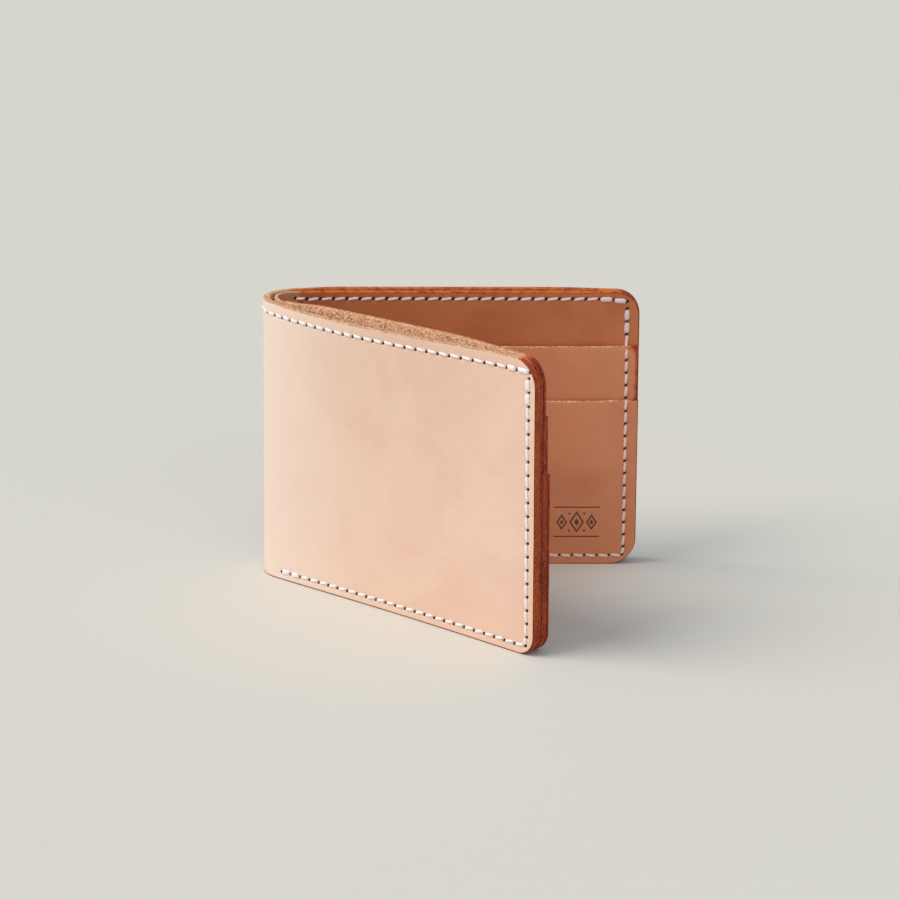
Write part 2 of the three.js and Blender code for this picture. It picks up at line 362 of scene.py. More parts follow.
def sewn(along, z):
    """1 where the layers are glued and sewn: bottom and free side, not the open top."""
    side = step(along, LENGTH - 7.5, LENGTH - 2.5)
    low = 1 - step(z, 1.0, 4.0)
    inboard = 1 - step(along, LENGTH - 7.0, LENGTH - 3.0)
    open_top = step(z, HEIGHT - 5.5, HEIGHT - 1.5) * inboard
    return np.clip(np.maximum(side, low) - open_top, 0, 1)


def edge_tone(along, z, side, bottom, top=0.0, top_ramp=None):
    """How burnished the cut edge is: 0 raw, 1 dark. side and top_ramp are ranges of along."""
    if top_ramp:
        top = top * step(along, *top_ramp)
    low = bottom * (1 - step(z, 2, 9))
    return np.clip(np.maximum(np.maximum(step(along, *side), low), top), 0, 1)


@dataclass
class Sheet:
    """A leather sheet with rounded cut edges, dimpled stitch holes and flat grain coordinates."""
    name: str
    part: str                   # "back", "front" or "fold"
    layer: int                  # 1 is the cover, counted inwards; also the seed of the waves
    surface: object             # depth of the outer face at (along, z)
    thickness: float
    start: float                # range of along
    end: float
    tone: object                # edge tone at (along, z)
    outer_round: tuple          # radius of the outer face's edge: free, sewn
    inner_round: tuple
    rim_widths: tuple           # how far the edge colour runs over the outer, the inner face
    wave: float
    top: float = HEIGHT
    corners: tuple = (0, 0)     # radius of the free corners: bottom, top
    holes: list = ()
    cut_start: bool = False     # the start or end butts against another sheet
    cut_end: bool = False
    swell: float = 0.0          # extra thickness that closes the gap at a sewn edge
    hole_shade_gain: float = 1.0       # strength of the painted shade in the holes on the inner face
    lip: float = 0.0            # painted highlight: paleness along the top, where a lip catches the light
    developed: bool = False     # grain runs on from the middle of the fold
    relief: object = None       # (depth, stamp) pressed into the inner face
    extra_points: object = None

    def __post_init__(self):
        self.holes = [hole for hole in self.holes
                      if self.start + 0.9 < hole[0] < self.end - 0.5]
        self.loop = self.outline()
        self.count = len(self.loop)
        self.flipped = self.part != "back"
        self.verts, self.faces, self.flat = [], [], []
        self.scalars = {key: [] for key in ("flesh", "rim", "tone", "pit", "stamp", "lip")}

    def outline(self):
        """Closed outline as rows (along, z, normal along, normal z); 0 across a butting side."""
        start, end, top = self.start, self.end, self.top
        low_radius, high_radius = self.corners
        if self.cut_end:
            count = max(3, int(round((end - start) / FINE)) + 1)
            bottom_row = np.linspace(start, end, count)
            top_row = bottom_row[::-1]
        else:
            columns = [start]
            while columns[-1] < end:
                columns.append(columns[-1] + (FINE if columns[-1] < 3 else COARSE))

            def run(stop):
                return np.array([x for x in columns if x < stop - 0.4 * COARSE] + [stop])

            bottom_row = run(end - low_radius)
            top_row = run(end - high_radius)[::-1]
        margin = EDGE_ROWS[-1]
        count = max(2, int(round((top - 2 * margin) / 2.4)))
        heights = np.array(EDGE_ROWS[:-1] + list(np.linspace(margin, top - margin, count + 1))
                           + [top - row for row in reversed(EDGE_ROWS[:-1])])
        start_normal = 0.0 if self.cut_start else -1.0
        end_normal = 0.0 if self.cut_end else 1.0
        points = []

        def arc(centre_z, radius, first, last):
            steps = max(6, int(radius * 1.9))
            for i in range(1, steps):
                angle = first + (last - first) * i / steps
                points.append((end - radius + radius * math.sin(angle),
                               centre_z + radius * math.cos(angle),
                               math.sin(angle), math.cos(angle)))

        for i, x in enumerate(bottom_row):
            square = i == len(bottom_row) - 1 and low_radius == 0
            normal = start_normal if i == 0 else (end_normal if square else 0.0)
            points.append((x, 0.0, normal, -1.0))
        if low_radius == 0:
            side = heights[1:]
        else:
            arc(low_radius, low_radius, math.pi, math.pi / 2)
            side = heights[heights > low_radius + 0.8]
            points.append((end, low_radius, 1.0, 0.0))
        side = side[:-1] if high_radius == 0 else side[side < top - high_radius - 0.8]
        for z in side:
            points.append((end, z, end_normal, 0.0))
        if high_radius > 0:
            points.append((end, top - high_radius, 1.0, 0.0))
            arc(top - high_radius, high_radius, math.pi / 2, 0)
        for i, x in enumerate(top_row):
            last = i == len(top_row) - 1
            square = i == 0 and high_radius == 0
            normal = start_normal if last else (end_normal if square else 0.0)
            points.append((x, top, normal, 1.0))
        for z in heights[::-1][1:-1]:
            points.append((start, z, start_normal, 0.0))
        return np.array(points)

    def edge_distance(self, along, z):
        """Distance from a point to the nearest real edge."""
        distance = np.minimum(z, self.top - z)
        if not self.cut_start:
            distance = np.minimum(distance, along - self.start)
        if not self.cut_end:
            distance = np.minimum(distance, self.end - along)
        low, high = self.corners
        for radius, centre_z, way in ((low, low, -1), (high, self.top - high, 1)):
            if radius > 0:
                centre = self.end - radius
                inside = (along > centre) & ((z - centre_z) * way > 0)
                from_arc = radius - np.hypot(along - centre, z - centre_z)
                distance = np.where(inside, from_arc, distance)
        return distance

    def hole_marks(self, outer):
        """Centres of the dimples on one face."""
        if not outer or self.layer != 1:
            return self.holes
        marks = []
        for along, z in self.holes:
            on_side = along > LENGTH - 5 and z < HEIGHT - 4
            shift = SIDE_SHIFT if on_side else TOP_SHIFT[self.part]
            marks.append((along + shift[0], z + shift[1]))
        return marks

    def face_points(self, inset, outer):
        """Points of one face: its rim first, then rows inside it, holes, stitches and a grid."""
        along, z, out_along, out_z = self.loop.T
        widest = inset.max()
        marks = self.hole_marks(outer)

        def inboard(points, edge, ends):
            """Which points are clear of the real edges and of both ends."""
            return ((self.edge_distance(points[:, 0], points[:, 1]) > widest + edge)
                    & (points[:, 0] > self.start + ends) & (points[:, 0] < self.end - ends))

        def clear(points):
            keep = np.ones(len(points), bool)
            for hole in marks:
                keep &= hole_reach(points[:, 0] - hole[0], points[:, 1] - hole[1]) > 2.6
            return keep

        groups = [np.stack([along - inset * out_along, z - inset * out_z], 1)]
        usable = (np.hypot(out_along, out_z) > 0) & ~(np.abs(out_along * out_z) > 0.99)
        if self.cut_start:
            usable &= along > self.start + 0.3
        if self.cut_end:
            usable &= along < self.end - 0.3
        for row in INNER_ROWS:
            points = np.stack([along - (inset + row) * out_along,
                               z - (inset + row) * out_z], 1)[usable]
            if row > 1.5:
                points = points[::2]
            distance = self.edge_distance(points[:, 0], points[:, 1])
            points = points[distance > (widest + row) * 0.8]
            groups.append(points[clear(points)])

        rings = []
        for hole in marks:
            rings.append(hole)
            for size, number in HOLE_RINGS:
                for i in range(number):
                    angle = 2 * math.pi * (i + 0.5 * (number % 4 == 2)) / number
                    long = HOLE_LENGTH * size * math.cos(angle)
                    wide = HOLE_WIDTH * size * math.sin(angle)
                    rings.append((hole[0] + 0.8 * long - 0.6 * wide,
                                  hole[1] + 0.6 * long + 0.8 * wide))
        rings = np.array(rings).reshape(-1, 2)
        groups.append(rings[inboard(rings, 0.15, 0.25)])

        columns = []
        x = self.start + FINE
        while x < self.end - 0.4:
            columns.append(x)
            x += FINE * 1.4 if (x < 2 or self.cut_end) else (0.95 if x < 17 else COARSE)
        rows = np.arange(2.2, self.top - 2.0, 1.9)
        grid = np.stack(np.meshgrid(columns, rows), -1).reshape(-1, 2)

        # points across the middle of each stitch keep the groove crisp
        middles = []
        for first, second in neighbours(marks):
            middle = (first[0] + second[0]) / 2, (first[1] + second[1]) / 2
            run, climb = second[0] - first[0], second[1] - first[1]
            length = math.hypot(run, climb)
            for offset in (-1.5, -0.75, 0, 0.75, 1.5):
                middles.append((middle[0] - climb / length * offset,
                                middle[1] + run / length * offset))
        if middles:
            middles = np.array(middles)
            apart = [np.min(np.hypot(middles[:, 0] - point[0], middles[:, 1] - point[1])) > 0.8
                     for point in grid]
            grid = grid[np.array(apart)]
            groups.append(middles[inboard(middles, 0.25, 0.3)])
        if self.extra_points is not None:
            extra = self.extra_points
            low, high = extra.min(0) - 0.3, extra.max(0) + 0.3
            grid = grid[~((grid > low) & (grid < high)).all(1)]
            groups.append(extra[clear(extra)])
        grid = grid[clear(grid)]
        grid = grid[self.edge_distance(grid[:, 0], grid[:, 1]) > widest + 2.2]
        groups.append(grid)
        return np.concatenate(groups)

    def face_depth(self, along, z):
        uneven = waves(along, z, self.layer, self.wave) * step(along, -4, 14)
        return self.surface(along, z) + uneven

    def dimples(self, along, z, outer):
        """Depth pressed in by the holes and stitches, and the painted shade in the holes."""
        depth = np.zeros(len(along))
        pit = np.zeros(len(along))
        floors = [min(0.85, self.thickness * 0.7), min(0.78, self.thickness * 0.62)]
        for hole in self.hole_marks(outer):
            from_hole, above = along - hole[0], z - hole[1]
            near = np.hypot(from_hole, above) < 2.2
            reach = hole_reach(from_hole[near], above[near])
            profile = np.interp(reach, [0, 0.36, 0.7, 1.0, 1.5, 2.3, 3.0],
                                floors + [0.42, 0.14, 0.05, 0.015, 0])
            dark = np.interp(reach, [0, 0.7, 1.0, 1.5, 2.3], [1, 1, 0.75, 0.16, 0])
            depth[near] = np.maximum(depth[near], profile)
            pit[near] = np.maximum(pit[near], dark)
        # the line of stitches pulls the leather in
        distance = np.full(len(along), 99.0)
        for first, second in neighbours(self.holes):
            run, climb = second[0] - first[0], second[1] - first[1]
            share = np.clip(((along - first[0]) * run + (z - first[1]) * climb)
                            / (run * run + climb * climb), 0, 1)
            away = np.hypot(along - first[0] - share * run, z - first[1] - share * climb)
            distance = np.minimum(distance, away)
        depth += 0.10 * np.exp(-(distance / 0.8) ** 2)
        return depth, pit

    def add(self, along, z, depth, flat_depth, **scalars):
        """Append vertices and return the index of the first."""
        base = sum(map(len, self.verts))
        self.verts.append(PLACES[self.part](along, depth, z))
        flat_along = along
        if self.developed:
            flat_along = (-1.0 if self.part == "back" else 1.0) * (along + HALF_FOLD)
        self.flat.append(np.stack([flat_along, z, flat_depth + self.layer * LAYER_STEP], 1))
        scalars["tone"] = self.tone(along, z)
        # painted highlight along the top edge, where a lip catches the light
        scalars["lip"] = self.lip * step(z, self.top - 2.2, self.top - 0.2)
        for key, values in scalars.items():
            self.scalars[key].append(np.broadcast_to(values, along.shape).astype(float))
        return base

    def add_face(self, inset, outer):
        """Triangulate one face and return the vertices of its rim."""
        points = self.face_points(inset, outer)
        _, unique = np.unique(np.round(points, 3), axis=0, return_index=True)
        points = points[np.sort(unique)]
        edges = [(i, (i + 1) % self.count) for i in range(self.count)]
        result = delaunay_2d_cdt([Vector(point) for point in points], edges, [], 1, 1e-5, True)
        new_points, triangles, origins = result[0], result[2], result[3]
        source = [min(ids) if ids else -1 for ids in origins]
        flat = [points[i] if i >= 0 else point for i, point in zip(source, new_points)]
        along = np.array([point[0] for point in flat])
        z = np.array([point[1] for point in flat])
        index = {origin: i for i, origin in enumerate(source) if origin >= 0}

        pressed, pit = self.dimples(along, z, outer)
        stamp = np.zeros(len(along))
        depth = self.face_depth(along, z)
        from_edge = self.edge_distance(along, z)
        if outer:
            depth = depth + pressed
        else:
            pit = pit * self.hole_shade_gain
            if self.relief is not None:
                relief, stamp = self.relief(along, z)
                pressed = pressed + relief
            swollen = self.swell * sewn(along, z) * (1 - step(from_edge, 3.5, 5.0))
            depth = depth + (self.thickness + swollen) - pressed
        rim_width = self.rim_widths[0 if outer else 1]
        # the grain side of the cover is outside, of every other layer inside
        base = self.add(along, z, depth, np.full(len(along), 0.0 if outer else 20.0),
                        flesh=float(outer != (self.layer == 1)),
                        rim=1 - step(from_edge, 0.12, 0.12 + rim_width), pit=pit, stamp=stamp)
        for triangle in triangles:
            ring = list(triangle)
            i, j, k = (source[v] for v in ring[:3])
            on_rim = max(i, j, k) < self.count and min(i, j, k) >= 0
            if on_rim and (j - i) * (k - j) * (i - k) > 0:
                continue   # a sliver outside the outline: its corners run round it backwards
            if outer != self.flipped:
                ring = ring[::-1]
            self.faces.append([base + v for v in ring])
        return [base + index[i] for i in range(self.count)]

    def add_rim(self, outer_inset, inner_inset, outer_rim, inner_rim):
        """Join the two faces round the cut edge; returns all loops and the joining quads."""
        along, z, out_along, out_z = self.loop.T
        thickness = self.thickness + self.swell * sewn(along, z)
        profile = []    # (inset, depth)
        angles = [i / ROUND_STEPS * math.pi / 2 for i in range(1, ROUND_STEPS + 1)]
        for angle in angles:
            profile.append((outer_inset * (1 - np.sin(angle)),
                            outer_inset * (1 - np.cos(angle))))
        profile.append((np.full(self.count, -CROWN), thickness / 2))
        for angle in reversed(angles):
            profile.append((inner_inset * (1 - np.sin(angle)),
                            thickness - inner_inset * (1 - np.cos(angle))))
        face_depth = self.face_depth(along, z)
        loops = [outer_rim]
        for inset, depth in profile:
            base = self.add(along - inset * out_along, z - inset * out_z, face_depth + depth,
                            3 + depth * 3.0, flesh=0.0, rim=1.0, pit=0.0, stamp=0.0)
            loops.append(list(range(base, base + self.count)))
        loops.append(inner_rim)
        for first, second in zip(loops[:-1], loops[1:]):
            for i in range(self.count):
                j = (i + 1) % self.count
                quad = [first[i], first[j], second[j], second[i]]
                self.faces.append(quad if self.flipped else quad[::-1])
        return loops

    def sharpen_cuts(self, mesh, loops):
        """Butting sides are flat, so their borders are sharp."""
        along = self.loop[:, 0]
        on_cut = [i for i in range(self.count)
                  if (self.cut_start and abs(along[i] - self.start) < 1e-6)
                  or (self.cut_end and abs(along[i] - self.end) < 1e-6)]
        if not on_cut:
            return
        cap_quads = set()
        for first, second in zip(loops[:-1], loops[1:]):
            for i in on_cut:
                j = (i + 1) % self.count
                if j in on_cut and abs(along[i] - along[j]) < 1e-6:
                    cap_quads.add(frozenset((first[i], first[j], second[j], second[i])))
        edge_caps = {}
        for polygon in mesh.polygons:
            cap = frozenset(polygon.vertices) in cap_quads
            for key in polygon.edge_keys:
                edge_caps.setdefault(key, []).append(cap)
        sharp = np.zeros(len(mesh.edges), bool)
        for i, edge in enumerate(mesh.edges):
            caps = edge_caps.get(tuple(sorted(edge.vertices)), [])
            sharp[i] = len(caps) == 2 and caps[0] != caps[1]
        attribute = (mesh.attributes.get("sharp_edge")
                     or mesh.attributes.new("sharp_edge", "BOOLEAN", "EDGE"))
        attribute.data.foreach_set("value", sharp)

    def build(self):
        along, z, out_along, out_z = self.loop.T
        glued = sewn(along, z) * (np.hypot(out_along, out_z) > 0)
        outer_inset, inner_inset = (free * (1 - glued) + held * glued
                                    for free, held in (self.outer_round, self.inner_round))
        outer_rim = self.add_face(outer_inset, True)
        inner_rim = self.add_face(inner_inset, False)
        loops = self.add_rim(outer_inset, inner_inset, outer_rim, inner_rim)
        obj = make_object(self.name, self.verts, self.faces, self.scalars, self.flat)
        self.sharpen_cuts(obj.data, loops)
        return obj


# ---------------------------------------------------------------- thread

CORD_SIDES, CORD_STEPS = 16, 18
CORD_WIDTH = 0.39       # half width of a thin stitch


def build_thread(name, part, surface, side, holes, thick_ends, slant, seed, rise=0.27, low=0.0):
    """Stitches of a waxed three-ply cord that dives into a hole at both ends.

    side is -1 on the outer face of a layer and 1 on the inner; thick_ends is the number of
    thick stitches at the start and end; rise is half the height of the cord, low sinks it.
    """
    rng = np.random.default_rng(seed)
    verts, faces, ply, flat = [], [], [], []
    even = np.linspace(0, 1, CORD_STEPS + 1)
    travel = 0.55 * ((1 - np.cos(even * np.pi)) / 2) + 0.45 * even
    from_middle = np.abs(2 * travel - 1)
    around = np.linspace(0, 2 * np.pi, CORD_SIDES, endpoint=False)
    last_thin = len(holes) - 1 - thick_ends[1]
    for i, (start, end) in enumerate(zip(holes[:-1], holes[1:])):
        thick = i < thick_ends[0] or i >= last_thin
        size = 1.75 if thick else 1.0
        start, end = np.array(start), np.array(end)
        length = math.hypot(*(end - start))
        way = (end - start) / length
        across = np.array([-way[1], way[0]])
        inset = 0.20 if thick else 0.26
        start, end = start + inset * way, end - inset * way
        lean = slant * rng.uniform(0.8, 1.2) * (0.5 if thick else 1)
        offset = (2 * travel - 1) * lean + rng.uniform(-0.03, 0.03)
        peak = 0.55 + 0.07 * size + rng.uniform(-0.02, 0.02)
        lift = -0.55 + peak * (1 - from_middle ** 5.5) - low
        taper = from_middle ** 3.5
        half_width = CORD_WIDTH * size * (1 - 0.50 * taper) * rng.uniform(0.95, 1.05)
        half_height = rise * (0.6 + 0.4 * size) * (1 - 0.35 * taper)
        turns = rng.uniform(0.9, 1.15)
        phase = rng.uniform(0, 6.28)
        twist = around[None, :] - travel[:, None] * turns * 2 * np.pi
        lobe = 1 + 0.17 * np.abs(np.cos(1.5 * (twist - phase))) - 0.085
        path = start + (end - start) * travel[:, None] + offset[:, None] * across
        sideways = half_width[:, None] * np.cos(around)[None, :] * lobe
        upwards = half_height[:, None] * np.sin(around)[None, :] * lobe
        along = path[:, :1] + sideways * across[0]
        z = path[:, 1:] + sideways * across[1]
        depth = surface(path[:, 0], path[:, 1])[:, None] + side * (lift[:, None] + upwards)
        base = sum(map(len, verts))
        verts.append(PLACES[part](along.ravel(), depth.ravel(), z.ravel()))
        crest = ((lobe - lobe.min()) / (lobe.max() - lobe.min())).ravel()
        # ply is low in the furrows and at the ends: it carries the cord's painted shade
        ply.append(np.repeat(1 - from_middle ** 6, CORD_SIDES) * (0.35 + 0.65 * crest))
        flat_twist = (around[None, :] - travel[:, None] * turns * 6.283) * 0.4
        flat.append(np.stack([np.repeat(travel * length, CORD_SIDES) + i * 9.1,
                              flat_twist.ravel(), np.full(crest.shape, seed * 3.3)], 1))
        for j in range(CORD_STEPS):
            row = base + j * CORD_SIDES
            for k in range(CORD_SIDES):
                after = (k + 1) % CORD_SIDES
                faces.append([row + k, row + after,
                              row + CORD_SIDES + after, row + CORD_SIDES + k])
        faces.append([base + k for k in range(CORD_SIDES)][::-1])
        faces.append([base + CORD_STEPS * CORD_SIDES + k for k in range(CORD_SIDES)])
    return make_object(name, verts, faces, {"ply": ply}, flat)


# ---------------------------------------------------------------- materials

def srgb(*channels):
    """0-255 display values -> linear colour."""
    scaled = [channel / 255 for channel in channels]
    return tuple(value / 12.92 if value < 0.04045 else ((value + 0.055) / 1.055) ** 2.4
                 for value in scaled)


def shade(colour, *factors):
    """A colour times one factor, or one factor per channel."""
    if len(factors) == 1:
        factors = factors * 3
    return tuple(min(1, channel * factor) for channel, factor in zip(colour, factors))


class Shader:
    """A material with one principled shader, and short ways to add nodes."""

    def __init__(self, name):
        self.material = bpy.data.materials.new(name)
        self.material.use_nodes = True
        self.tree = self.material.node_tree
        self.tree.nodes.clear()
        output = self.new("OutputMaterial")
        self.bsdf = self.new("BsdfPrincipled")
        self.tree.links.new(self.bsdf.outputs[0], output.inputs[0])

    def new(self, kind):
        return self.tree.nodes.new("ShaderNode" + kind)

    def put(self, socket, value):
        if isinstance(value, bpy.types.NodeSocket):
            self.tree.links.new(value, socket)
            return
        if socket.type == "RGBA" and len(value) == 3:
            value = (*value, 1.0)
        socket.default_value = value

    def feed(self, name, value):
        self.put(self.bsdf.inputs[name], value)

    def attribute(self, name, output="Fac"):
        node = self.new("Attribute")
        node.attribute_name = name
        return node.outputs[output]

    def math(self, operation, *values):
        node = self.new("Math")
        node.operation = operation
        for socket, value in zip(node.inputs, values):
            self.put(socket, value)
        return node.outputs[0]

    def centred(self, value, amount, middle=0.5):
        """amount times the distance above the middle value."""
        return self.math("MULTIPLY", self.math("SUBTRACT", value, middle), amount)

    def stretch(self, vector, factors):
        node = self.new("VectorMath")
        node.operation = "MULTIPLY"
        self.put(node.inputs[0], vector)
        self.put(node.inputs[1], factors)
        return node.outputs[0]

    def separate(self, vector):
        node = self.new("SeparateXYZ")
        self.put(node.inputs[0], vector)
        return node.outputs

    def mix(self, amount, base, colour):
        node = self.new("Mix")
        node.data_type = "RGBA"
        for i, value in ((0, amount), (6, base), (7, colour)):
            self.put(node.inputs[i], value)
        return node.outputs[2]

    def lerp(self, amount, low, high):
        node = self.new("Mix")
        node.data_type = "FLOAT"
        for i, value in ((0, amount), (2, low), (3, high)):
            self.put(node.inputs[i], value)
        return node.outputs[0]

    def ramp(self, value, stops):
        node = self.new("ValToRGB")
        elements = node.color_ramp.elements
        while len(elements) < len(stops):
            elements.new(0.5)
        for element, (position, colour) in zip(elements, stops):
            element.position = position
            element.color = (*colour, 1.0)
        self.put(node.inputs[0], value)
        return node.outputs[0]

    def range(self, value, between, to=(0.0, 1.0)):
        """Smoothly map a value from one range to another."""
        node = self.new("MapRange")
        node.interpolation_type = "SMOOTHSTEP"
        for socket, number in zip(node.inputs, (value, *between, *to)):
            self.put(socket, number)
        return node.outputs[0]

    def stain(self, base, colour, mask, between, to=(0.0, 1.0)):
        """Lay a colour over the base by an amount that follows the mask."""
        return self.mix(self.range(mask, between, to), base, colour)

    def noise(self, vector, scale, detail, roughness, distortion=0.0):
        node = self.new("TexNoise")
        self.put(node.inputs["Vector"], vector)
        node.inputs["Scale"].default_value = scale
        node.inputs["Detail"].default_value = detail
        node.inputs["Roughness"].default_value = roughness
        node.inputs["Distortion"].default_value = distortion
        return node.outputs[0]

    def cells(self, vector, scale):
        node = self.new("TexVoronoi")
        self.put(node.inputs["Vector"], vector)
        node.inputs["Scale"].default_value = scale
        return node.outputs["Distance"]

    def bump(self, height, strength, distance):
        node = self.new("Bump")
        node.inputs["Strength"].default_value = strength
        node.inputs["Distance"].default_value = distance
        self.put(node.inputs["Height"], height)
        self.feed("Normal", node.outputs[0])


# burnished edge colours, fully dark and half way, from the darkest fibres to the palest
BURNT = [(0.26, srgb(78, 12, 1)), (0.43, srgb(134, 36, 6)),
         (0.58, srgb(172, 58, 14)), (0.78, srgb(214, 98, 36))]
AMBER = [(0.28, srgb(156, 62, 18)), (0.45, srgb(204, 102, 42)),
         (0.60, srgb(224, 124, 58)), (0.78, srgb(238, 156, 90))]


def leather(name, grain, flesh_side, raw_edge, rough=0.5, coat=0.08, painted_fold_highlight=False):
    """Leather from (light, dark) colours of its grain side, flesh side and raw cut edge."""
    tree = Shader(name)
    flat = tree.attribute("flat", "Vector")
    flesh, rim, tone, pit, stamp, lip = (
        tree.attribute(key) for key in ("flesh", "rim", "tone", "pit", "stamp", "lip"))

    # grain side: slow mottling, fine speckle, pores
    light, dark = grain
    slow = tree.noise(flat, scale=0.045, detail=3.0, roughness=0.55, distortion=0.6)
    mid = tree.noise(flat, scale=0.33, detail=5.0, roughness=0.6, distortion=0.3)
    fine = tree.noise(flat, scale=2.1, detail=6.0, roughness=0.7)
    cells = tree.cells(flat, scale=2.3)
    pores = tree.range(cells, (0.02, 0.34), to=(1.0, 0.0))
    colour = tree.stain(light, dark, slow, (0.34, 0.68))
    colour = tree.stain(colour, shade(dark, 0.80), mid, (0.35, 0.75), to=(0.0, 0.06))
    colour = tree.stain(colour, shade(dark, 0.62), fine, (0.50, 0.78), to=(0.0, 0.16))
    colour = tree.mix(tree.math("MULTIPLY", pores, 0.10), colour, shade(dark, 0.50))
    colour = tree.stain(colour, shade(light, 1.12), fine, (0.20, 0.42), to=(0.12, 0.0))
    # a few wrinkles and scars, barely visible
    streak = tree.noise(tree.stretch(flat, (0.05, 0.5, 1.0)),
                        scale=1.0, detail=5.0, roughness=0.6, distortion=0.8)
    colour = tree.stain(colour, shade(dark, 0.7), streak, (0.60, 0.72), to=(0.0, 0.07))
    if painted_fold_highlight:
        # painted highlight: paler towards the middle of the fold on both halves, where the light
        # falls on the spine
        from_fold = tree.math("ABSOLUTE", tree.separate(flat)[0])
        colour = tree.stain(colour, shade(light, 1.04, 1.19, 1.32), from_fold,
                            (0.0, 58.0), to=(0.95, 0.0))

    # flesh side: loose fibres
    light, dark = flesh_side
    fibres = tree.noise(flat, scale=0.7, detail=6.0, roughness=0.75, distortion=0.3)
    fuzz = tree.noise(flat, scale=1.55, detail=3.0, roughness=0.75)
    fleshy = tree.stain(light, dark, fibres, (0.34, 0.66))
    fleshy = tree.stain(fleshy, shade(dark, 0.42, 0.28, 0.22), fuzz, (0.52, 0.60), to=(0.0, 0.82))
    fleshy = tree.stain(fleshy, shade(light, 1.35), fuzz, (0.40, 0.475), to=(0.80, 0.0))

    # cut edge: patterns drawn out across the thickness
    strands = tree.noise(tree.stretch(flat, (0.8, 0.8, 0.36)),
                         scale=1.0, detail=7.0, roughness=0.74, distortion=0.6)
    blotch = tree.noise(tree.stretch(flat, (1.0, 1.0, 0.33)),
                        scale=0.45, detail=4.0, roughness=0.6, distortion=0.4)
    speck = tree.noise(tree.stretch(flat, (1.0, 1.0, 0.36)),
                       scale=1.5, detail=4.0, roughness=0.75)
    burnt = tree.ramp(strands, BURNT)
    burnt = tree.stain(burnt, srgb(90, 18, 2), blotch, (0.42, 0.66), to=(0.0, 0.50))
    amber = tree.ramp(strands, AMBER)
    amber = tree.stain(amber, srgb(150, 56, 18), blotch, (0.46, 0.62), to=(0.0, 0.75))
    amber = tree.stain(amber, srgb(96, 34, 12), speck, (0.58, 0.72), to=(0.0, 0.45))
    # each layer has its own slow pattern, and the cover's edge is paler
    place = tree.separate(flat)
    layer = tree.math("FLOOR", tree.math("DIVIDE", place[2], LAYER_STEP))
    join = tree.new("CombineXYZ")
    tree.put(join.inputs[0], tree.math("MULTIPLY", place[0], 0.06))
    tree.put(join.inputs[1], tree.math("MULTIPLY", place[1], 0.06))
    tree.put(join.inputs[2], tree.math("MULTIPLY", layer, 7.7))
    own = tree.noise(join.outputs[0], scale=1.0, detail=4.0, roughness=0.65)
    is_cover = tree.math("LESS_THAN", layer, 1.5)
    burnt = tree.mix(tree.math("MULTIPLY", is_cover, 0.30), burnt, srgb(190, 88, 34))
    burnt = tree.stain(burnt, srgb(198, 80, 24), own, (0.44, 0.70), to=(0.0, 0.36))
    burnt = tree.stain(burnt, srgb(76, 14, 2), own, (0.28, 0.54), to=(0.42, 0.0))
    burnt = tree.stain(burnt, srgb(222, 112, 50), speck, (0.53, 0.63), to=(0.0, 0.50))
    burnt = tree.stain(burnt, srgb(50, 10, 3), speck, (0.36, 0.46), to=(0.55, 0.0))
    light, dark = raw_edge
    raw = tree.stain(light, dark, strands, (0.38, 0.62))
    raw = tree.stain(raw, shade(dark, 0.40), speck, (0.51, 0.59), to=(0.0, 0.62))
    raw = tree.stain(raw, shade(light, 1.22), speck, (0.40, 0.48), to=(0.55, 0.0))
    patchy_tone = tree.math("ADD", tone, tree.centred(blotch, 0.55))
    edge = tree.stain(raw, amber, patchy_tone, (0.10, 0.45))
    edge = tree.stain(edge, burnt, patchy_tone, (0.60, 0.92))
    # a dark line near the outer face
    depth = tree.math("SUBTRACT", place[2], tree.math("MULTIPLY", layer, LAYER_STEP))
    groove = tree.range(tree.math("ABSOLUTE", tree.math("SUBTRACT", depth, 3.0)),
                        (0.0, 0.75), to=(1.0, 0.0))
    dark_line = tree.math("MULTIPLY", groove, tree.math("MULTIPLY", tone, 0.75))
    edge = tree.mix(dark_line, edge, srgb(44, 12, 6))

    # painted highlight: the lip of a pocket is a little paler where it catches the light; burnishing
    # runs unevenly over the edge's corner
    base = tree.mix(flesh, colour, fleshy)
    base = tree.mix(tree.math("MULTIPLY", lip, 0.12), base, shade(grain[0], 1.25))
    uneven_rim = tree.math("ADD", rim, tree.centred(mid, 0.35))
    on_rim = tree.range(uneven_rim, (0.30, 0.92))
    colour = tree.mix(on_rim, base, edge)
    colour = tree.stain(colour, srgb(70, 34, 22), stamp, (0.25, 0.85), to=(0.0, 0.86))
    # painted shade in the stitch holes
    colour = tree.stain(colour, srgb(52, 22, 12), pit, (0.30, 0.92))
    tree.feed("Base Color", colour)

    # gloss: flesh and holes are matt, burnished edges smoother than raw ones
    roughness = tree.range(fine, (0.3, 0.7), to=(rough - 0.06, rough + 0.10))
    roughness = tree.lerp(flesh, roughness, 0.93)
    edge_roughness = tree.lerp(tone, 0.78, tree.range(strands, (0.3, 0.7), to=(0.34, 0.56)))
    roughness = tree.lerp(on_rim, roughness, edge_roughness)
    tree.feed("Roughness", tree.lerp(pit, roughness, 0.95))
    tree.feed("Specular IOR Level", tree.lerp(on_rim, 0.38, 0.20))
    on_grain = tree.math("MULTIPLY", tree.math("SUBTRACT", 1.0, flesh),
                         tree.math("SUBTRACT", 1.0, on_rim))
    tree.feed("Coat Weight", tree.math("MULTIPLY", on_grain, coat))
    tree.feed("Coat Roughness", 0.38)
    tree.feed("Sheen Weight", tree.math("MULTIPLY", flesh, 0.35))

